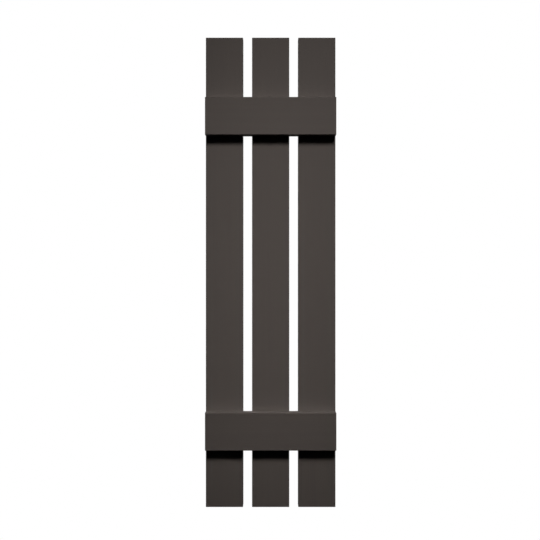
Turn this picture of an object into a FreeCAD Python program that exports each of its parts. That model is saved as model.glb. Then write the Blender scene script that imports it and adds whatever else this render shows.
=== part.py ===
# Board and batten exterior shutter, nominal 12 by 43 inches, in millimetres.
# Three hollow-backed vinyl boards stand side by side with open gaps between them.
# Two battens of the same face width lie across their fronts and tie them together.
# Boards and battens are extrusions, and a moulded cap closes each sawn end.
# Frame: X to the right, Z up, the front towards -Y, the wall on the plane y = 0.
# The origin is the middle of that plane, at half height.

import FreeCAD, Part
import math
import os

# Overall height, measured over the end caps
shutter_height = 1092.2

# Boards, from left to right as seen from the front
board_names = ("left", "middle", "right")
board_width = 86.6
board_depth = 19.05
board_gap = 20.9

# Battens, whose ends are flush with the outer edges of the outer boards
batten_width = 86.6
batten_depth = 19.05
top_batten_drop = 143.5
bottom_batten_rise = 137.0

# Walls, front edges and inside corners of both extrusions
face_wall = 2.4
side_wall = 2.4
front_radius = 1.0
inside_radius = 0.5

# Back of a board: a lip turned in along each side, and a footed rib down the middle
lip_width = 9.0
foot_width = 12.0
foot_thickness = 2.4
rib_thickness = 2.0

# Back of a batten: two screw chases, each a slot between two ribs
chase_offset = 22.0
chase_slot = 3.2
chase_wall = 2.0

# Clearance holes through a board's face for the screws into the batten's chases
screw_hole = 4.8

# End caps: a plate over the sawn end, and a hollow tongue in each chamber
cap_plate = 2.4
cap_edge_radius = 0.8
tongue_length = 12.0
tongue_wall = 1.8
tongue_clearance = 0.25
tongue_lead_in = 0.6

# Places that follow from the sizes above
board_pitch = board_width + board_gap
batten_length = len(board_names) * board_pitch - board_gap
top_batten_height = shutter_height / 2 - top_batten_drop - batten_width / 2
bottom_batten_height = -shutter_height / 2 + bottom_batten_rise + batten_width / 2
batten_heights = {"top": top_batten_height, "bottom": bottom_batten_height}
slot_inner = foot_width / 2
slot_outer = board_width / 2 - lip_width
slot_middle = (slot_inner + slot_outer) / 2
chase_half = chase_slot / 2 + chase_wall


def point(x, y, z=0.0):
    """A point, or a step, in millimetres."""
    return FreeCAD.Vector(x, y, z)


def rectangle(x_low, x_high, y_low, y_high):
    """A flat rectangle in the plane of a section."""
    corners = [
        point(x_low, y_low),
        point(x_high, y_low),
        point(x_high, y_high),
        point(x_low, y_high),
        point(x_low, y_low),
    ]
    return Part.Face(Part.makePolygon(corners))


def hollow(x_low, x_high, y_low, y_high):
    """A flat rectangle with rounded corners, to cut a chamber out of a section."""
    r = inside_radius
    bulge = r * (1 - math.sqrt(0.5))
    corners = [
        (point(x_low, y_low + r), point(x_low + bulge, y_low + bulge), point(x_low + r, y_low)),
        (point(x_high - r, y_low), point(x_high - bulge, y_low + bulge), point(x_high, y_low + r)),
        (point(x_high, y_high - r), point(x_high - bulge, y_high - bulge), point(x_high - r, y_high)),
        (point(x_low + r, y_high), point(x_low + bulge, y_high - bulge), point(x_low, y_high - r)),
    ]
    edges = []
    for place, corner in enumerate(corners):
        edges.append(Part.Arc(*corner))
        edges.append(Part.LineSegment(corner[2], corners[(place + 1) % 4][0]))
    return Part.Face(Part.Wire([edge.toShape() for edge in edges]))


def outline(width, depth):
    """Outside of a plank's section: a flat back on y = 0 and rounded front edges."""
    half = width / 2
    flat = half - front_radius
    shoulder = -depth + front_radius
    bulge = front_radius * math.sqrt(0.5)
    edges = [
        Part.LineSegment(point(-half, 0), point(-half, shoulder)),
        Part.Arc(point(-half, shoulder), point(-flat - bulge, shoulder - bulge), point(-flat, -depth)),
        Part.LineSegment(point(-flat, -depth), point(flat, -depth)),
        Part.Arc(point(flat, -depth), point(flat + bulge, shoulder - bulge), point(half, shoulder)),
        Part.LineSegment(point(half, shoulder), point(half, 0)),
        Part.LineSegment(point(half, 0), point(-half, 0)),
    ]
    return Part.Face(Part.Wire([edge.toShape() for edge in edges]))


def board_chambers():
    """The hollows of a board, left and right of its rib, as spans across the width."""
    inside = board_width / 2 - side_wall
    rib = rib_thickness / 2
    return [(-inside, -rib), (rib, inside)]


def batten_chambers():
    """The hollows of a batten, beside and between its chases, as spans across the width."""
    inside = batten_width / 2 - side_wall
    outer = chase_offset + chase_half
    inner = chase_offset - chase_half
    return [(-inside, -outer), (-inner, inner), (outer, inside)]


def board_section():
    """Face, sides, turned-in lips and footed rib, open to the wall between lip and foot."""
    section = outline(board_width, board_depth)
    for low, high in board_chambers():
        section = section.cut(hollow(low, high, -board_depth + face_wall, -foot_thickness))
    for low, high in ((-slot_outer, -slot_inner), (slot_inner, slot_outer)):
        section = section.cut(rectangle(low, high, -foot_thickness, 0))
    return section


def batten_section():
    """Face, sides and two screw chases, open all along the back."""
    section = outline(batten_width, batten_depth)
    slot = chase_slot / 2
    chases = [(side * chase_offset - slot, side * chase_offset + slot) for side in (-1, 1)]
    for low, high in batten_chambers() + chases:
        section = section.cut(hollow(low, high, -batten_depth + face_wall, inside_radius))
    return section


def extrusion(section, length):
    """A plank of one section, standing on end, with the middle of its length at z = 0."""
    plank = section.Faces[0].extrude(point(0, 0, length))
    plank.translate(point(0, 0, -length / 2))
    return plank


def tongue(span, front, back):
    """A hollow tongue that hangs into one chamber of a plank, clear of its walls, with a lead-in."""
    low, high = span
    outer = rectangle(
        low + tongue_clearance, high - tongue_clearance, front + tongue_clearance, back - tongue_clearance
    )
    block = outer.extrude(point(0, 0, -tongue_length))
    tip = [edge for edge in block.Edges if all(abs(v.Z + tongue_length) < 1e-6 for v in edge.Vertexes)]
    wall = tongue_clearance + tongue_wall
    core = rectangle(low + wall, high - wall, front + wall, back - wall)
    return block.makeChamfer(tongue_lead_in, tip).cut(core.extrude(point(0, 0, -tongue_length)))


def end_cap(width, depth, chambers, chamber_back):
    """A cap for the upper end of a plank that is sawn off at z = 0."""
    plate = outline(width, depth).extrude(point(0, 0, cap_plate))
    rim = []
    for edge in plate.Edges:
        on_top = all(abs(vertex.Z - cap_plate) < 1e-6 for vertex in edge.Vertexes)
        on_back = all(abs(vertex.Y) < 1e-6 for vertex in edge.Vertexes)
        if on_top and not on_back:
            rim.append(edge)
    cap = plate.makeFillet(min(cap_edge_radius, cap_plate / 2), rim)
    for span in chambers:
        cap = cap.fuse(tongue(span, -depth + face_wall, chamber_back))
    return cap.removeSplitter()


def turned(shape, degrees):
    """A copy of a shape, turned about the Y axis."""
    copy = shape.copy()
    copy.rotate(point(0, 0), point(0, 1), degrees)
    return copy


def moved(shape, x, y, z):
    """A copy of a shape, moved."""
    copy = shape.copy()
    copy.translate(point(x, y, z))
    return copy


def drilled(board, x):
    """A board with its screw holes: two where it meets each batten, on a diagonal."""
    for height in batten_heights.values():
        for side in (-1, 1):
            start = point(x + side * slot_middle, -board_depth, height - side * chase_offset)
            board = board.cut(Part.makeCylinder(screw_hole / 2, face_wall, start, point(0, 1)))
    return board


def boards():
    """The three boards and their end caps."""
    length = shutter_height - 2 * cap_plate
    plank = extrusion(board_section(), length)
    cap = end_cap(board_width, board_depth, board_chambers(), -foot_thickness)
    pieces = {}
    for place, name in enumerate(board_names):
        x = (place - (len(board_names) - 1) / 2) * board_pitch
        pieces[f"{name}_board"] = drilled(moved(plank, x, 0, 0), x)
        pieces[f"{name}_board_top_cap"] = moved(cap, x, 0, length / 2)
        pieces[f"{name}_board_bottom_cap"] = moved(turned(cap, 180), x, 0, -length / 2)
    return pieces


def battens():
    """The two battens and their end caps, on the fronts of the boards."""
    length = batten_length - 2 * cap_plate
    plank = turned(extrusion(batten_section(), length), 90)
    cap = end_cap(batten_width, batten_depth, batten_chambers(), 0)
    pieces = {}
    for name, height in batten_heights.items():
        pieces[f"{name}_batten"] = moved(plank, 0, -board_depth, height)
        pieces[f"{name}_batten_right_cap"] = moved(turned(cap, 90), length / 2, -board_depth, height)
        pieces[f"{name}_batten_left_cap"] = moved(turned(cap, -90), -length / 2, -board_depth, height)
    return pieces


os.makedirs("parts", exist_ok=True)
for node, shape in {**boards(), **battens()}.items():
    shape.exportStep(f"parts/{node}.step")
    print(node, len(shape.Solids), round(shape.Volume / 1000, 1), "cm3")
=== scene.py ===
# %% [markdown]
# # A board and batten shutter
#
# This is a fixed shutter for the outside of a house: three upright vinyl boards with
# open gaps between them, tied together by two battens across the front. The solid
# model already has the boards, battens and end caps at their real size and place. This
# lesson gives the planks the wood grain that is pressed into their faces, drives the
# screws, mixes the finishes, and lights and frames the shutter like a picture in a
# catalogue.

# %% Load the solid model
import math

import bmesh
import bpy
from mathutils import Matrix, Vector


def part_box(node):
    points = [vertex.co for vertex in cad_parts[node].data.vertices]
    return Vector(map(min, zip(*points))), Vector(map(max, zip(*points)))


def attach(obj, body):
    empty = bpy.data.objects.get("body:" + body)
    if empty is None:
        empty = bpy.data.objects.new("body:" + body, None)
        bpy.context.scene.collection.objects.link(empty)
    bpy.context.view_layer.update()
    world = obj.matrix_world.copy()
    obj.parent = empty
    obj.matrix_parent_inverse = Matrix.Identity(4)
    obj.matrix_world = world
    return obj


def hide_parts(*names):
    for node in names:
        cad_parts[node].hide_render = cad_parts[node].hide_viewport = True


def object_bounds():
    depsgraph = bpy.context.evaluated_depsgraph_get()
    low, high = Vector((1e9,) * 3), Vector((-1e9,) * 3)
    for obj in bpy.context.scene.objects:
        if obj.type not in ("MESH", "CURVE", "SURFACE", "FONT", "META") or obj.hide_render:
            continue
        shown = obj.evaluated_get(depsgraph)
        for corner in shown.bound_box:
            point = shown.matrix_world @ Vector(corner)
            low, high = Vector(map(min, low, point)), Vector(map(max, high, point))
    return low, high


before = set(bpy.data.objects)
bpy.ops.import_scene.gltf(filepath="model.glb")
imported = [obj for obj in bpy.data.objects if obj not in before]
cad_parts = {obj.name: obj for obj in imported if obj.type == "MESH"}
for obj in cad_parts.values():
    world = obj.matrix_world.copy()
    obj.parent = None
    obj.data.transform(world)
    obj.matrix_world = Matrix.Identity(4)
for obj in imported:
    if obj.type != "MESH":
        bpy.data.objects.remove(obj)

cad_low, cad_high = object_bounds()
print("solid pieces:", len(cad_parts), "size in metres:", [round(s, 4) for s in cad_high - cad_low])

# %% [markdown]
# ## Sizes of the plank sections
#
# Length, width and depth of every plank come from its box in the solid model. What
# lies inside that box, such as the thickness of a wall, can't be read from a box, so
# those few sizes are named here, in metres, as the solid model has them.

# %% Name the sizes inside a plank
MM = 0.001
FACE_WALL = 2.4 * MM
SIDE_WALL = 2.4 * MM
FRONT_RADIUS = 1.0 * MM
INSIDE_RADIUS = 0.5 * MM
LIP_WIDTH = 9.0 * MM
FOOT_WIDTH = 12.0 * MM
FOOT_THICKNESS = 2.4 * MM
RIB_THICKNESS = 2.0 * MM
CHASE_OFFSET = 22.0 * MM
CHASE_SLOT = 3.2 * MM
CHASE_WALL = 2.0 * MM

BOARDS = ("left_board", "middle_board", "right_board")
BATTENS = ("top_batten", "bottom_batten")
for name in BOARDS + BATTENS:
    low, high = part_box(name)
    print(name, "is", [round(s / MM, 2) for s in high - low], "mm")

# %% [markdown]
# ## Selecting by place
#
# Modelling by hand is a chain of selecting and operating. In a script the selecting
# is done by a test on where a corner, edge or face lies. One helper is enough: it
# goes through the mesh that is open for editing and selects what passes the test.

# %% Write the selecting helper
TOUCH = 0.01 * MM


def near(a, b):
    """True where two lengths agree to a hundredth of a millimetre."""
    return abs(a - b) < TOUCH


def pick(kind, wanted):
    """Selects the corners, edges or faces of the open mesh that pass a test, and counts them."""
    bpy.ops.mesh.select_mode(type=kind)
    bpy.ops.mesh.select_all(action="DESELECT")
    mesh = bmesh.from_edit_mesh(bpy.context.object.data)
    parts = {"VERT": mesh.verts, "EDGE": mesh.edges, "FACE": mesh.faces}[kind]
    chosen = [part for part in parts if wanted(part)]
    for part in chosen:
        part.select_set(True)
    mesh.select_flush_mode()
    bmesh.update_edit_mesh(bpy.context.object.data)
    return len(chosen)


print("places closer than", TOUCH / MM, "mm count as the same")

# %% [markdown]
# ## Cutting a plank's section
#
# A vinyl plank is pushed through a die, so its shape is one flat section drawn out to
# a length. The section could be typed in as a ring of points, but it is easier to
# read as a sheet with its hollows cut away: a plane is sliced along the edges of each
# hollow, the faces inside are deleted, and what is left is dissolved into one face.
# Vertex bevels then round the two front corners and, as a die does, the corners of
# the chambers.

# %% Draw the section of a plank
CORNER_STEPS = 5


def cut_section(name, width, depth, hollows):
    """A flat section with its back on y = 0; each hollow is (low x, high x, low y, high y)."""
    bpy.ops.object.select_all(action="DESELECT")
    bpy.ops.mesh.primitive_plane_add(size=1, location=(0, -depth / 2, 0))
    plank = bpy.context.object
    plank.name = name
    plank.data.name = name
    plank.scale = (width, depth, 1)
    bpy.ops.object.transform_apply(location=True, rotation=True, scale=True)
    bpy.ops.object.mode_set(mode="EDIT")
    corners = []
    for low_x, high_x, low_y, high_y in hollows:
        for place, normal in (
            ((low_x, 0, 0), (1, 0, 0)),
            ((high_x, 0, 0), (1, 0, 0)),
            ((0, low_y, 0), (0, 1, 0)),
            ((0, high_y, 0), (0, 1, 0)),
        ):
            bpy.ops.mesh.select_all(action="SELECT")
            bpy.ops.mesh.bisect(plane_co=place, plane_no=normal, threshold=TOUCH)
        if near(low_y, -depth + FACE_WALL):
            corners += [(x, y) for x in (low_x, high_x) for y in (low_y, high_y) if y < -TOUCH]

    def hollow(face):
        x, y = face.calc_center_median().xy
        return any(left < x < right and front < y < back for left, right, front, back in hollows)

    pick("FACE", hollow)
    bpy.ops.mesh.delete(type="FACE")
    bpy.ops.mesh.select_all(action="SELECT")
    bpy.ops.mesh.dissolve_limited(angle_limit=math.radians(1))
    pick("VERT", lambda v: near(v.co.y, -depth) and near(abs(v.co.x), width / 2))
    bpy.ops.mesh.bevel(affect="VERTICES", offset=FRONT_RADIUS, segments=CORNER_STEPS)
    pick("VERT", lambda v: any(near(v.co.x, x) and near(v.co.y, y) for x, y in corners))
    bpy.ops.mesh.bevel(affect="VERTICES", offset=INSIDE_RADIUS, segments=CORNER_STEPS)
    bpy.ops.object.mode_set(mode="OBJECT")
    return plank


print("corners are rounded in", CORNER_STEPS, "steps")

# %% [markdown]
# ## Hollows of the boards and battens
#
# A board stands off the wall on a lip along each side and on a footed rib down its
# middle, so its section has a chamber on each side of the rib, with a slot to the wall.
# A batten lies on the boards and is open at its back. It has two screw chases, each a
# narrow slot between two ribs.

# %% List the hollows of each section


def board_hollows(width, depth):
    """Two chambers beside the middle rib, each open to the wall between lip and foot."""
    inside = width / 2 - SIDE_WALL
    foot_edge = FOOT_WIDTH / 2
    lip_edge = width / 2 - LIP_WIDTH
    rib = RIB_THICKNESS / 2
    front = -depth + FACE_WALL
    return [
        (-inside, -rib, front, -FOOT_THICKNESS),
        (rib, inside, front, -FOOT_THICKNESS),
        (-lip_edge, -foot_edge, -FOOT_THICKNESS, 0),
        (foot_edge, lip_edge, -FOOT_THICKNESS, 0),
    ]


def batten_hollows(width, depth):
    """Three chambers and, between them, the narrow slots that the screws bite into."""
    inside = width / 2 - SIDE_WALL
    slot = CHASE_SLOT / 2
    outer = CHASE_OFFSET + slot + CHASE_WALL
    inner = CHASE_OFFSET - slot - CHASE_WALL
    front = -depth + FACE_WALL
    return [
        (-inside, -outer, front, 0),
        (-CHASE_OFFSET - slot, -CHASE_OFFSET + slot, front, 0),
        (-inner, inner, front, 0),
        (CHASE_OFFSET - slot, CHASE_OFFSET + slot, front, 0),
        (outer, inside, front, 0),
    ]


print("sections ready: footed boards and slotted battens")

# %% [markdown]
# ## Drawing the section out
#
# Extruding the section to its length gives the plank. The front is then divided into
# a fine grid, close across the grain and loose along it, because a grain line is thin
# and long. Nothing else on the plank needs that grid, so only the front gets columns.
# One subdivide makes a hundred cuts at most, so the front is halved first and each
# half is then divided.

# %% Extrude a plank and divide its front
ROW_LENGTH = 12.0 * MM
COLUMN_WIDTH = 0.55 * MM


def draw_out(plank, width, depth, length):
    """Extrudes a section along Z about z = 0, and lays the grid for the grain on its front."""
    bpy.ops.object.mode_set(mode="EDIT")
    bpy.ops.mesh.select_all(action="SELECT")
    bpy.ops.transform.translate(value=(0, 0, -length / 2))
    bpy.ops.mesh.extrude_region_move(TRANSFORM_OT_translate={"value": (0, 0, length)})
    bpy.ops.mesh.select_all(action="SELECT")
    bpy.ops.mesh.normals_make_consistent(inside=False)
    pick("EDGE", lambda e: near(e.calc_length(), length))
    rows = round(length / ROW_LENGTH)
    bpy.ops.mesh.subdivide(number_cuts=rows - 1)

    def across_front(edge):
        a, b = (v.co for v in edge.verts)
        return near(a.y, -depth) and near(b.y, -depth) and near(a.z, b.z)

    pick("EDGE", across_front)
    bpy.ops.mesh.subdivide(number_cuts=1)
    pick("EDGE", across_front)
    columns = round((width / 2 - FRONT_RADIUS) / COLUMN_WIDTH)
    bpy.ops.mesh.subdivide(number_cuts=columns - 1)
    bpy.ops.object.mode_set(mode="OBJECT")
    print(plank.name, "front grid:", rows, "by", 2 * columns)


print("a square of the grid is", COLUMN_WIDTH / MM, "by", ROW_LENGTH / MM, "mm")

# %% [markdown]
# ## Pressing in the wood grain
#
# While the vinyl is still warm, a roller presses a wood grain about a tenth of a
# millimetre deep into the face. It runs along each plank. Two Displace modifiers copy
# it: wavy bands for the growth rings and small clouds for the short streaks between
# them. Both read an empty that is stretched along the plank, which draws the pattern
# out into grain. Only the flat of the front moves, so the plank keeps its edges. The
# empty starts at another place for each plank, so that no two planks match.

# %% Emboss the front of a plank
RING_WIDTH = 7.0 * MM
RING_LENGTH = 420 * MM
RING_DEPTH = 0.04 * MM
RING_SHIFT = (0.31, 0, 0.77)
STREAK_WIDTH = 1.8 * MM
STREAK_LENGTH = 70 * MM
STREAK_DEPTH = 0.05 * MM
STREAK_SHIFT = (0.13, 0, 0.53)


def emboss(plank, pattern, width, length, depth, start):
    """Presses one pattern into the picked front, with marks of a width and length, from a start."""
    bpy.ops.object.empty_add(location=start)
    stretch = bpy.context.object
    stretch.scale = (width, width, length)
    bpy.context.view_layer.update()
    press = plank.modifiers.new("emboss", "DISPLACE")
    press.texture = pattern
    press.texture_coords = "OBJECT"
    press.texture_coords_object = stretch
    press.vertex_group = "front"
    press.direction = "Y"
    press.mid_level = 0.5
    press.strength = depth
    bpy.context.view_layer.objects.active = plank
    bpy.ops.object.modifier_apply(modifier=press.name)
    bpy.data.objects.remove(stretch)
    plank.select_set(True)


def press_grain(plank, width, depth, length, place):
    """The grain of one plank; place counts the planks and moves the pattern on."""
    bpy.ops.object.mode_set(mode="EDIT")
    edge = width / 2 - FRONT_RADIUS - TOUCH
    end = length / 2 - TOUCH
    picked = pick("VERT", lambda v: near(v.co.y, -depth) and abs(v.co.x) < edge and abs(v.co.z) < end)
    bpy.ops.object.vertex_group_assign_new()
    plank.vertex_groups.active.name = "front"
    bpy.ops.object.mode_set(mode="OBJECT")
    rings = bpy.data.textures.new("growth rings", "WOOD")
    rings.wood_type = "BANDNOISE"
    rings.noise_basis_2 = "SIN"
    rings.noise_scale = 1.6
    rings.turbulence = 9
    ring_start = [place * step for step in RING_SHIFT]
    emboss(plank, rings, RING_WIDTH, RING_LENGTH, RING_DEPTH, ring_start)
    streaks = bpy.data.textures.new("streaks", "CLOUDS")
    streaks.noise_scale = 1.0
    streaks.noise_depth = 2
    streak_start = [place * step for step in STREAK_SHIFT]
    emboss(plank, streaks, STREAK_WIDTH, STREAK_LENGTH, STREAK_DEPTH, streak_start)
    plank.vertex_groups.clear()
    print(plank.name, "grain pressed into", picked, "points")


print("grain is up to", round((RING_DEPTH + STREAK_DEPTH) / MM, 2), "mm from crest to bottom")

# %% [markdown]
# ## Drilling the boards
#
# Two screws hold each board to each batten, on a diagonal: one in the board's left
# hollow and the batten's upper slot, one in the right hollow and the lower slot. They
# pass through the board's face with a little room to spare. The holes of a board are
# drilled together: the bits are cylinders, joined to one mesh, and a Boolean takes
# that mesh out of the plank.

# %% Find the screws' places and drill for them
HOLE_RADIUS = 2.4 * MM
ROUND_STEPS = 32


def screw_places(board):
    """The screws of a board: a name for each, and its place across and up."""
    low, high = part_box(board)
    hollow_middle = (FOOT_WIDTH / 2 + (high.x - low.x) / 2 - LIP_WIDTH) / 2
    places = []
    for batten in BATTENS:
        batten_low, batten_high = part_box(batten)
        height = (batten_low.z + batten_high.z) / 2
        for side, hand in ((-1, "left"), (1, "right")):
            across = (low.x + high.x) / 2 + side * hollow_middle
            places.append((f"{board}_{batten}_{hand}_screw", across, height - side * CHASE_OFFSET))
    return places


def drill(plank, depth, holes):
    """Takes round holes out of the face of a standing plank; each hole is (x, z)."""
    bits = []
    for x, z in holes:
        bpy.ops.mesh.primitive_cylinder_add(
            vertices=ROUND_STEPS,
            radius=HOLE_RADIUS,
            depth=2 * FACE_WALL,
            location=(x, -depth + FACE_WALL / 2, z),
            rotation=(math.radians(90), 0, 0),
        )
        bits.append(bpy.context.object)
    for bit in bits:
        bit.select_set(True)
    bpy.ops.object.join()
    joined = bpy.context.object
    cut = plank.modifiers.new("holes", "BOOLEAN")
    cut.object = joined
    cut.operation = "DIFFERENCE"
    bpy.context.view_layer.objects.active = plank
    bpy.ops.object.modifier_apply(modifier=cut.name)
    bpy.data.objects.remove(joined)
    plank.select_set(True)
    print(plank.name, "drilled:", len(holes), "holes")


print("screws in a board:", len(screw_places("middle_board")))

# %% [markdown]
# ## Colours and nodes
#
# Colours are written as they are seen on a screen, in sRGB hex, and a shader wants
# them linear, so one function converts them. Another adds a node with its settings
# and whatever feeds it, which keeps the material recipes below short.

# %% Write the colour and node helpers


def from_hex(text):
    """Linear red, green, blue and alpha for an sRGB hex colour such as #48423f."""
    levels = [int(text[i : i + 2], 16) / 255 for i in (1, 3, 5)]
    return [s / 12.92 if s <= 0.04045 else ((s + 0.055) / 1.055) ** 2.4 for s in levels] + [1.0]


def add_node(tree, kind, inputs=(), **settings):
    """Adds a node; inputs maps a socket to a value, or to the socket that feeds it."""
    made = tree.nodes.new(kind)
    for name, value in settings.items():
        setattr(made, name, value)
    for socket, value in dict(inputs).items():
        if isinstance(value, bpy.types.NodeSocket):
            tree.links.new(value, made.inputs[socket])
        else:
            made.inputs[socket].default_value = value
    return made


def new_material(name):
    """An empty material and its tree."""
    material = bpy.data.materials.new(name)
    material.use_nodes = True
    material.node_tree.nodes.clear()
    return material, material.node_tree


print("dark grey vinyl is", [round(c, 3) for c in from_hex("#48423f")[:3]], "in linear colour")

# %% [markdown]
# ## What all the vinyl shares
#
# Planks and caps are rigid PVC, coloured right through, so there is no paint film and
# no edge where the colour wears off. Its dark grey varies by a shade, and where it is
# lighter it is also a little duller. One recipe makes that shader. A pattern for the
# tone and a pattern for the relief go in, and they differ with how a surface was made.

# %% Write the vinyl's shader
VINYL_DARK = "#46403d"
VINYL_LIGHT = "#4a4440"
VINYL_IOR = 1.53
SMOOTH_SPECULAR = 0.5
BROKEN_SPECULAR = 0.1


def vinyl_surface(tree, tone, roughness, specular, relief, depth, strength):
    """Rigid PVC: tone sets the grey and the roughness, relief the bump, which is depth metres deep."""
    colour = add_node(
        tree,
        "ShaderNodeMix",
        {"Factor": tone, 6: from_hex(VINYL_DARK), 7: from_hex(VINYL_LIGHT)},
        data_type="RGBA",
    )
    low, high = roughness
    dulling = add_node(tree, "ShaderNodeMapRange", {"Value": tone, "To Min": low, "To Max": high})
    bump = add_node(tree, "ShaderNodeBump", {"Height": relief, "Strength": strength, "Distance": depth})
    surface = add_node(
        tree,
        "ShaderNodeBsdfPrincipled",
        {
            "Base Color": colour.outputs[2],
            "Roughness": dulling.outputs["Result"],
            "Normal": bump.outputs["Normal"],
            "IOR": VINYL_IOR,
            "Specular IOR Level": specular,
        },
    )
    add_node(tree, "ShaderNodeOutputMaterial", {"Surface": surface.outputs["BSDF"]})


print("vinyl from", VINYL_DARK, "to", VINYL_LIGHT)

# %% [markdown]
# ## Vinyl, extruded and embossed
#
# The embossing leaves a dull surface: broad, soft highlights and faint streaks along
# the grain. Its finest texture breaks reflections up before they reach the eye, so the
# specular level is well below that of smooth PVC. The pores between the streaks are
# too fine for the mesh, so they are bump, drawn two or three times their real width so
# that they still show.

# %% Mix the embossed vinyl
TONE_WIDTH = 9.0 * MM
TONE_LENGTH = 300 * MM
PORE_WIDTH = 0.7 * MM
PORE_LENGTH = 18 * MM
PORE_DEPTH = 0.03 * MM
EMBOSSED_ROUGHNESS = (0.72, 0.82)


def along_grain(tree, grain, width, length):
    """Object coordinates drawn out along X or Z, so that a mark is width by length."""
    place = add_node(tree, "ShaderNodeTexCoord")
    scale = [1 / width] * 3
    scale["XYZ".index(grain)] = 1 / length
    drawn = add_node(tree, "ShaderNodeMapping", {"Vector": place.outputs["Object"], "Scale": scale})
    return drawn.outputs["Vector"]


def embossed_vinyl(name, grain):
    """Extruded PVC with a rolled-in wood grain along X or Z: dull, with faint streaks."""
    material, tree = new_material(name)
    streaks = along_grain(tree, grain, TONE_WIDTH, TONE_LENGTH)
    tone = add_node(tree, "ShaderNodeTexNoise", {"Vector": streaks, "Scale": 1.0, "Detail": 3.0})
    dashes = along_grain(tree, grain, PORE_WIDTH, PORE_LENGTH)
    pores = add_node(tree, "ShaderNodeTexNoise", {"Vector": dashes, "Scale": 1.0, "Detail": 2.0})
    vinyl_surface(
        tree,
        tone=tone.outputs["Fac"],
        roughness=EMBOSSED_ROUGHNESS,
        specular=BROKEN_SPECULAR,
        relief=pores.outputs["Fac"],
        depth=PORE_DEPTH,
        strength=0.5,
    )
    return material


board_face = embossed_vinyl("embossed vinyl, grain upright", "Z")
batten_face = embossed_vinyl("embossed vinyl, grain level", "X")
print("mixed:", board_face.name, "and", batten_face.name)

# %% [markdown]
# ## Vinyl, straight from the die
#
# The back and the inside of a plank never meet the embossing roller. They keep the
# skin that the die gives: smoother than the face, with fine straight lines along the
# length where the vinyl was drawn over the steel.

# %% Mix the drawn vinyl
DIE_LINE_WIDTH = 1.6 * MM
DIE_LINE_LENGTH = 900 * MM
DIE_LINE_DEPTH = 0.02 * MM
DRAWN_ROUGHNESS = (0.42, 0.52)


def drawn_vinyl(name, grain):
    """PVC as the die leaves it: even colour, a low sheen and straight lines along X or Z."""
    material, tree = new_material(name)
    strokes = along_grain(tree, grain, DIE_LINE_WIDTH, DIE_LINE_LENGTH)
    lines = add_node(tree, "ShaderNodeTexNoise", {"Vector": strokes, "Scale": 1.0, "Detail": 2.0})
    vinyl_surface(
        tree,
        tone=lines.outputs["Fac"],
        roughness=DRAWN_ROUGHNESS,
        specular=SMOOTH_SPECULAR,
        relief=lines.outputs["Fac"],
        depth=DIE_LINE_DEPTH,
        strength=0.5,
    )
    return material


board_back = drawn_vinyl("drawn vinyl, lines upright", "Z")
batten_back = drawn_vinyl("drawn vinyl, lines level", "X")
print("mixed:", board_back.name, "and", batten_back.name)

# %% [markdown]
# ## Making the planks
#
# With the tools ready, each plank is one short chain: section, length, grain, holes,
# finish. A plank is modelled standing at the origin. A batten is then laid on its side,
# and each is moved to where its solid is. Applying the move leaves the object at the
# origin with its place in its mesh, as the solid pieces are.

# %% Make the boards and battens
SMOOTH_ANGLE = math.radians(30)


def finish_plank(plank, depth, face, back):
    """Gives the front and both sides the embossed finish, and the back and inside the drawn one."""
    plank.data.materials.append(back)
    plank.data.materials.append(face)
    bpy.ops.object.mode_set(mode="EDIT")
    edge = plank.dimensions.x / 2

    def outside(f):
        middle = f.calc_center_median()
        return middle.y < -depth + FRONT_RADIUS or near(abs(middle.x), edge)

    pick("FACE", outside)
    plank.active_material_index = 1
    bpy.ops.object.material_slot_assign()
    bpy.ops.object.mode_set(mode="OBJECT")
    bpy.ops.object.shade_smooth_by_angle(angle=SMOOTH_ANGLE)


def make_plank(node, hollows, face, back, place, screws=(), lying=False):
    """One plank in place of its solid; a lying plank runs along X, a standing one along Z."""
    low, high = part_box(node)
    size = high - low
    width, length = (size.z, size.x) if lying else (size.x, size.z)
    plank = cut_section(f"{node}_embossed", width, size.y, hollows(width, size.y))
    draw_out(plank, width, size.y, length)
    press_grain(plank, width, size.y, length, place)
    middle = (low + high) / 2
    if screws:
        drill(plank, size.y, [(x - middle.x, z - middle.z) for name, x, z in screws])
    finish_plank(plank, size.y, face, back)
    plank.location = (middle.x, high.y, middle.z)
    plank.rotation_euler = (0, math.radians(90 if lying else 0), 0)
    bpy.ops.object.transform_apply(location=True, rotation=True, scale=True)
    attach(plank, "root")
    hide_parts(node)
    print(plank.name, len(plank.data.polygons), "faces")


for place, node in enumerate(BOARDS):
    make_plank(node, board_hollows, board_face, board_back, place, screws=screw_places(node))
for place, node in enumerate(BATTENS, len(BOARDS)):
    make_plank(node, batten_hollows, batten_face, batten_back, place, lying=True)

# %% [markdown]
# ## Moulded end caps
#
# The caps are injection moulded from the same coloured vinyl. Their solids already
# have the right shape, so they only need a finish: the mould's fine spark-eroded
# grain, which has no direction. It breaks reflections up as the embossing does.

# %% Finish the end caps
SPARK_GRAIN = 0.9 * MM
SPARK_DEPTH = 0.03 * MM
MOULDED_ROUGHNESS = (0.68, 0.78)


def moulded_vinyl(name):
    """Moulded PVC: an even, dull grey with a fine pebbled grain."""
    material, tree = new_material(name)
    place = add_node(tree, "ShaderNodeTexCoord").outputs["Object"]
    scale = 1 / SPARK_GRAIN
    pebbles = add_node(tree, "ShaderNodeTexNoise", {"Vector": place, "Scale": scale, "Detail": 2.0})
    vinyl_surface(
        tree,
        tone=pebbles.outputs["Fac"],
        roughness=MOULDED_ROUGHNESS,
        specular=BROKEN_SPECULAR,
        relief=pebbles.outputs["Fac"],
        depth=SPARK_DEPTH,
        strength=0.4,
    )
    return material


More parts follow.
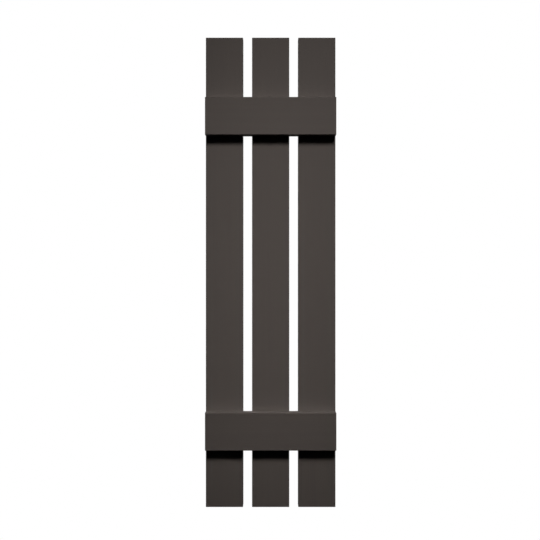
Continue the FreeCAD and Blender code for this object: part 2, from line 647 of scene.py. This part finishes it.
cap_finish = moulded_vinyl("moulded vinyl, spark-eroded")
caps = [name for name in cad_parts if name.endswith("_cap")]
for name in caps:
    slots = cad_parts[name].data.materials
    slots.clear()
    slots.append(cap_finish)
print("caps finished:", len(caps))

# %% [markdown]
# ## The driver's cross
#
# From inside each board's hollow back, pan-head screws go through the face and bite
# into the slots of the batten in front. Only their heads show, and only from behind.
# The cross for the driver is the one detail that the eye looks for on them. It is made
# as a solid of its own, a bar grown to all four sides and narrowed towards its bottom,
# and is later cut out of the head.

# %% Model the cross
HEAD_HEIGHT = 2.6 * MM
CROSS_LENGTH = 4.4 * MM
CROSS_WIDTH = 0.9 * MM
CROSS_DEPTH = 1.5 * MM
CROSS_TAPER = 0.55


def model_cross():
    """The driver's cross as a solid, which stands as far above the head as it goes into it."""
    bpy.ops.object.select_all(action="DESELECT")
    bpy.ops.mesh.primitive_cube_add(size=1, location=(0, 0, HEAD_HEIGHT))
    cross = bpy.context.object
    cross.scale = (CROSS_WIDTH, CROSS_WIDTH, 2 * CROSS_DEPTH)
    bpy.ops.object.transform_apply(location=True, rotation=True, scale=True)
    bpy.ops.object.mode_set(mode="EDIT")
    reach = (CROSS_LENGTH - CROSS_WIDTH) / 2
    for x, y in ((1, 0), (-1, 0), (0, 1), (0, -1)):
        side = Vector((x, y)) * CROSS_WIDTH / 2
        pick("FACE", lambda f: (f.calc_center_median().xy - side).length < TOUCH)
        bpy.ops.mesh.extrude_region_move(TRANSFORM_OT_translate={"value": (x * reach, y * reach, 0)})
    bottom = HEAD_HEIGHT - CROSS_DEPTH
    pick("VERT", lambda v: near(v.co.z, bottom))
    bpy.ops.transform.resize(value=(CROSS_TAPER, CROSS_TAPER, 1), center_override=(0, 0, bottom))
    bpy.ops.object.mode_set(mode="OBJECT")
    return cross


cross = model_cross()
print("cross:", [round(s / MM, 1) for s in cross.dimensions], "mm")

# %% [markdown]
# ## A screw
#
# The head is a short cylinder with its rim bevelled into a low dome. Its underside is
# inset and extruded to the shank, and once more to the point. A Boolean takes the cross
# out. The screw is modelled once and copied.

# %% Model one screw
HEAD_RADIUS = 4.0 * MM
DOME_HEIGHT = 0.6 * HEAD_HEIGHT
DOME_STEPS = 6
SHANK_RADIUS = 1.55 * MM
SHANK_LENGTH = 15.0 * MM
TIP_LENGTH = 3.0 * MM
TIP_TAPER = 0.1


def model_screw(cross):
    """One screw along Z: its head stands on z = 0, and its shank points down."""
    bpy.ops.object.select_all(action="DESELECT")
    bpy.ops.mesh.primitive_cylinder_add(
        vertices=ROUND_STEPS, radius=HEAD_RADIUS, depth=HEAD_HEIGHT, location=(0, 0, HEAD_HEIGHT / 2)
    )
    screw = bpy.context.object
    bpy.ops.object.transform_apply(location=True, rotation=True, scale=True)
    bpy.ops.object.mode_set(mode="EDIT")
    pick("EDGE", lambda e: all(near(v.co.z, HEAD_HEIGHT) for v in e.verts))
    bpy.ops.mesh.bevel(offset=DOME_HEIGHT, segments=DOME_STEPS)
    pick("FACE", lambda f: all(near(v.co.z, 0) for v in f.verts))
    bpy.ops.mesh.inset(thickness=HEAD_RADIUS - SHANK_RADIUS)
    bpy.ops.mesh.extrude_region_move(TRANSFORM_OT_translate={"value": (0, 0, -SHANK_LENGTH)})
    bpy.ops.mesh.extrude_region_move(TRANSFORM_OT_translate={"value": (0, 0, -TIP_LENGTH)})
    tip = (0, 0, -SHANK_LENGTH - TIP_LENGTH)
    bpy.ops.transform.resize(value=(TIP_TAPER, TIP_TAPER, 1), center_override=tip)
    bpy.ops.object.mode_set(mode="OBJECT")
    cut = screw.modifiers.new("cross", "BOOLEAN")
    cut.object = cross
    cut.operation = "DIFFERENCE"
    bpy.context.view_layer.objects.active = screw
    bpy.ops.object.modifier_apply(modifier=cut.name)
    return screw


screw = model_screw(cross)
bpy.data.objects.remove(cross)
print("screw:", len(screw.data.polygons), "faces,", round(screw.dimensions.z / MM, 1), "mm long")

# %% [markdown]
# ## Zinc-plated steel
#
# The screws are carbon steel with a thin bright zinc plating. It is a metal, so its
# colour is the colour of its reflections, a pale grey. The plating bath leaves it
# slightly cloudy.

# %% Mix the zinc plating
ZINC_DARK = "#a9a9a4"
ZINC_LIGHT = "#c4c5c2"
ZINC_ROUGHNESS = (0.28, 0.42)
CLOUD_SIZE = 1.2 * MM


def zinc_plate(name):
    """Electroplated zinc on steel: pale, metallic and faintly cloudy."""
    material, tree = new_material(name)
    place = add_node(tree, "ShaderNodeTexCoord").outputs["Object"]
    scale = 1 / CLOUD_SIZE
    clouds = add_node(tree, "ShaderNodeTexNoise", {"Vector": place, "Scale": scale, "Detail": 2.0})
    tone = clouds.outputs["Fac"]
    colour = add_node(
        tree,
        "ShaderNodeMix",
        {"Factor": tone, 6: from_hex(ZINC_DARK), 7: from_hex(ZINC_LIGHT)},
        data_type="RGBA",
    )
    low, high = ZINC_ROUGHNESS
    gloss = add_node(tree, "ShaderNodeMapRange", {"Value": tone, "To Min": low, "To Max": high})
    surface = add_node(
        tree,
        "ShaderNodeBsdfPrincipled",
        {"Base Color": colour.outputs[2], "Roughness": gloss.outputs["Result"], "Metallic": 1.0},
    )
    add_node(tree, "ShaderNodeOutputMaterial", {"Surface": surface.outputs["BSDF"]})
    return material


screw.data.materials.append(zinc_plate("zinc-plated steel"))
print("mixed:", screw.data.materials[0].name)

# %% [markdown]
# ## Driving the screws
#
# Each screw goes into its hole from behind, with its head against the inside of the
# board's face. Each is turned to a different angle, as screws are when they pull up
# tight.

# %% Copy the screws to their holes
SCREW_TURN = math.radians(37)
driven = 0
for board in BOARDS:
    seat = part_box(board)[0].y + FACE_WALL
    for name, x, z in screw_places(board):
        bpy.ops.object.select_all(action="DESELECT")
        screw.select_set(True)
        bpy.context.view_layer.objects.active = screw
        bpy.ops.object.duplicate(linked=False)
        copy = bpy.context.object
        copy.name = name
        copy.data.name = name
        copy.rotation_euler = (math.radians(-90), SCREW_TURN * driven, 0)
        copy.location = (x, seat, z)
        bpy.ops.object.transform_apply(location=True, rotation=True, scale=True)
        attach(copy, "root")
        driven += 1
bpy.data.objects.remove(screw)
print("screws driven:", driven)

# %% [markdown]
# ## White where it is seen
#
# Floor and background are white at a strength of one where the camera looks at them,
# and behind the shutter a reflection or a clear surface shows them white as well. For
# every other ray they are as dark as the room in front, so that they send no extra
# light into the black shadows under the battens. One small tree of nodes tells the two
# kinds of ray apart, for the floor and the background alike.

# %% Write the test for white
BEHIND_FULL = 0.3


def seen_white(tree, place):
    """1 for the camera, and for reflections and clear things that look to the back; 0 for the rest."""
    ray = add_node(tree, "ShaderNodeLightPath")
    indirect = add_node(
        tree,
        "ShaderNodeMath",
        {0: ray.outputs["Is Glossy Ray"], 1: ray.outputs["Is Transmission Ray"]},
        operation="MAXIMUM",
    )
    depth = add_node(tree, "ShaderNodeSeparateXYZ", {"Vector": place})
    behind = add_node(tree, "ShaderNodeMapRange", {"Value": depth.outputs["Y"], "From Max": BEHIND_FULL})
    reflected = add_node(
        tree,
        "ShaderNodeMath",
        {0: indirect.outputs[0], 1: behind.outputs["Result"]},
        operation="MULTIPLY",
    )
    both = add_node(
        tree,
        "ShaderNodeMath",
        {0: ray.outputs["Is Camera Ray"], 1: reflected.outputs[0]},
        operation="MAXIMUM",
    )
    return both.outputs[0]


print("reflections turn white from 0 to", BEHIND_FULL, "behind the shutter")

# %% [markdown]
# ## Floor
#
# The shutter hangs at the height of a window, so the floor is well below it. It shows
# the shutter's shadow near its foot and fades to plain white further out. Its paint is
# grey and lifted by an even glow, so that the shadow stays soft and pale.

# %% Lay the floor
FLOOR_DROP = 0.9
FLOOR_SIZE = 12.0
SHADOW_FULL = 0.9
SHADOW_GONE = 1.45
BACKGROUND = "#ffffff"
FLOOR_PALE = "#8c8b89"
FLOOR_GLOW = 0.78
ROOM_DARK = "#1c1c1c"


def studio_floor(name):
    """Matt white paint that shows a soft shadow in the middle and plain white further out."""
    material, tree = new_material(name)
    place = add_node(tree, "ShaderNodeTexCoord").outputs["Object"]
    reach = add_node(tree, "ShaderNodeVectorMath", {0: place}, operation="LENGTH")
    fade = add_node(
        tree,
        "ShaderNodeMapRange",
        {"Value": reach.outputs["Value"], "From Min": SHADOW_FULL, "From Max": SHADOW_GONE},
        interpolation_type="SMOOTHSTEP",
    )
    paint = add_node(tree, "ShaderNodeBsdfDiffuse", {"Color": from_hex(FLOOR_PALE)})
    glow = add_node(tree, "ShaderNodeEmission", {"Color": from_hex(BACKGROUND), "Strength": FLOOR_GLOW})
    near_paint = add_node(tree, "ShaderNodeAddShader", {0: paint.outputs[0], 1: glow.outputs[0]})
    white = add_node(tree, "ShaderNodeEmission", {"Color": from_hex(BACKGROUND), "Strength": 1.0})
    shown = add_node(
        tree,
        "ShaderNodeMixShader",
        {0: fade.outputs["Result"], 1: near_paint.outputs[0], 2: white.outputs[0]},
    )
    dark = add_node(tree, "ShaderNodeBsdfDiffuse", {"Color": from_hex(ROOM_DARK)})
    mixed = add_node(
        tree,
        "ShaderNodeMixShader",
        {0: seen_white(tree, place), 1: dark.outputs[0], 2: shown.outputs[0]},
    )
    add_node(tree, "ShaderNodeOutputMaterial", {"Surface": mixed.outputs[0]})
    return material


bpy.ops.object.select_all(action="DESELECT")
bpy.ops.mesh.primitive_plane_add(size=FLOOR_SIZE, location=(0, 0, cad_low.z - FLOOR_DROP))
floor = bpy.context.object
floor.name = "floor"
floor.data.materials.append(studio_floor("matt white floor paint"))
print("floor", FLOOR_DROP, "m below the shutter")

# %% [markdown]
# ## Background
#
# The background is the world itself, white by the same test as the floor. For the rays
# that light the shutter it has only a faint glow, because the lamps do that work.

# %% Set the background
ROOM_GLOW = 0.02


def white_backdrop(name):
    """A world that is white where it is seen, and all but dark for the rays that light."""
    world = bpy.data.worlds.new(name)
    world.use_nodes = True
    tree = world.node_tree
    tree.nodes.clear()
    direction = add_node(tree, "ShaderNodeTexCoord").outputs["Generated"]
    glow = add_node(tree, "ShaderNodeBackground", {"Color": from_hex(BACKGROUND), "Strength": ROOM_GLOW})
    white = add_node(tree, "ShaderNodeBackground", {"Color": from_hex(BACKGROUND), "Strength": 1.0})
    shown = add_node(
        tree,
        "ShaderNodeMixShader",
        {0: seen_white(tree, direction), 1: glow.outputs[0], 2: white.outputs[0]},
    )
    add_node(tree, "ShaderNodeOutputWorld", {"Surface": shown.outputs[0]})
    return world


bpy.context.scene.world = white_backdrop("white background")
print("background:", bpy.context.scene.world.name)

# %% [markdown]
# ## Lights
#
# Two softboxes hang side by side in front, high up, and give the picture its look:
# short black shadows under the battens, and a front that is even and then darkens
# towards both ends. A softbox has a grid on it, which is the lamp's spread: a tighter
# grid packs the same power into a smaller, brighter patch. The key lights the whole
# front. The low one is tight and aimed at the lower batten, which is further from the
# lamps and would otherwise come out too dark. Two more stand beside the shutter for
# its edges and the battens' ends, and two wide ones behind light the hollow backs.
# These four all stand behind the front, so none of them shines on it.

# %% Place the lights
FRONT_DISTANCE = 1.32
FRONT_HEIGHT = 1.58
FRONT_SIZE = 0.5


def softbox(name, place, target, size, spread, power):
    """A square lamp that faces a target; spread is the angle of its grid in degrees."""
    bpy.ops.object.select_all(action="DESELECT")
    bpy.ops.object.light_add(type="AREA", location=place)
    lamp = bpy.context.object
    lamp.name = name
    lamp.data.size = size
    lamp.data.spread = math.radians(spread)
    lamp.data.energy = power
    lamp.rotation_euler = (Vector(target) - Vector(place)).to_track_quat("-Z", "Y").to_euler()
    lamp.visible_camera = False


board_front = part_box("middle_board")[0].y
lamp_front = board_front - FRONT_DISTANCE
softbox(
    "key softbox",
    place=(0.37, lamp_front, FRONT_HEIGHT),
    target=(-0.044, board_front, -0.034),
    size=FRONT_SIZE,
    spread=50.3,
    power=4.02,
)
softbox(
    "low softbox",
    place=(-0.15, lamp_front, FRONT_HEIGHT),
    target=(0.048, board_front, -0.371),
    size=FRONT_SIZE,
    spread=20.7,
    power=0.623,
)
for side, hand in ((-1, "left"), (1, "right")):
    softbox(
        f"{hand} side softbox",
        place=(2.0 * side, 0.5, 0.5),
        target=(0, 0, 0),
        size=0.6,
        spread=60,
        power=2.2,
    )
    softbox(
        f"{hand} rear softbox",
        place=(1.0 * side, 1.7, 0.9),
        target=(0, 0, 0),
        size=1.0,
        spread=120,
        power=7.5,
    )

# %% [markdown]
# ## Light thrown up by the battens
#
# In the picture the boards are a little lighter just above each batten, where its top
# edge throws light up at them. Vinyl as dark as this throws back too little of it, so
# a slim strip lamp lies along the top of each batten and adds the rest. It is as long
# and as deep as the batten, so its light fades upwards as thrown light does.

# %% Lay a strip lamp on each batten
STRIP_POWER = 0.0125
STRIP_LIFT = 0.2 * MM

for batten in BATTENS:
    low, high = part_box(batten)
    middle = (low + high) / 2
    bpy.ops.object.select_all(action="DESELECT")
    bpy.ops.object.light_add(
        type="AREA",
        location=(middle.x, middle.y, high.z + STRIP_LIFT),
        rotation=(math.radians(180), 0, 0),
    )
    strip = bpy.context.object
    strip.name = f"{batten} strip lamp"
    strip.data.shape = "RECTANGLE"
    strip.data.size = high.x - low.x
    strip.data.size_y = high.y - low.y
    strip.data.energy = STRIP_POWER
    strip.visible_camera = False
    print(strip.name, [round(s / MM, 1) for s in (strip.data.size, strip.data.size_y)], "mm")

# %% [markdown]
# ## Camera
#
# The picture was taken square on, so the camera looks straight ahead, which keeps the
# boards' edges upright. Its place follows from a few measures in the picture, in
# pixels of its square frame: the size of a pixel on the boards' fronts, and where the
# middle of the shutter is. The distance is the one at which the battens, which are
# nearer and so come out larger, and the shadows under them fit the picture best.

# %% Set up the camera
FRAME_PIXELS = 540
PIXEL = 2.326 * MM
SHUTTER_MIDDLE = (270.65, 272.35)
CAMERA_DISTANCE = 1.35
SENSOR = 36.0

frame_middle = FRAME_PIXELS / 2
bpy.ops.object.select_all(action="DESELECT")
bpy.ops.object.camera_add(
    location=(
        (frame_middle - SHUTTER_MIDDLE[0]) * PIXEL,
        board_front - CAMERA_DISTANCE,
        (SHUTTER_MIDDLE[1] - frame_middle) * PIXEL,
    ),
    rotation=(math.radians(90), 0, 0),
)
camera = bpy.context.object
camera.data.sensor_width = SENSOR
camera.data.lens = SENSOR * CAMERA_DISTANCE / (FRAME_PIXELS * PIXEL)
bpy.context.scene.camera = camera
bpy.context.scene.view_settings.view_transform = "Standard"
print("lens", round(camera.data.lens, 1), "mm, at", [round(s, 3) for s in camera.location])
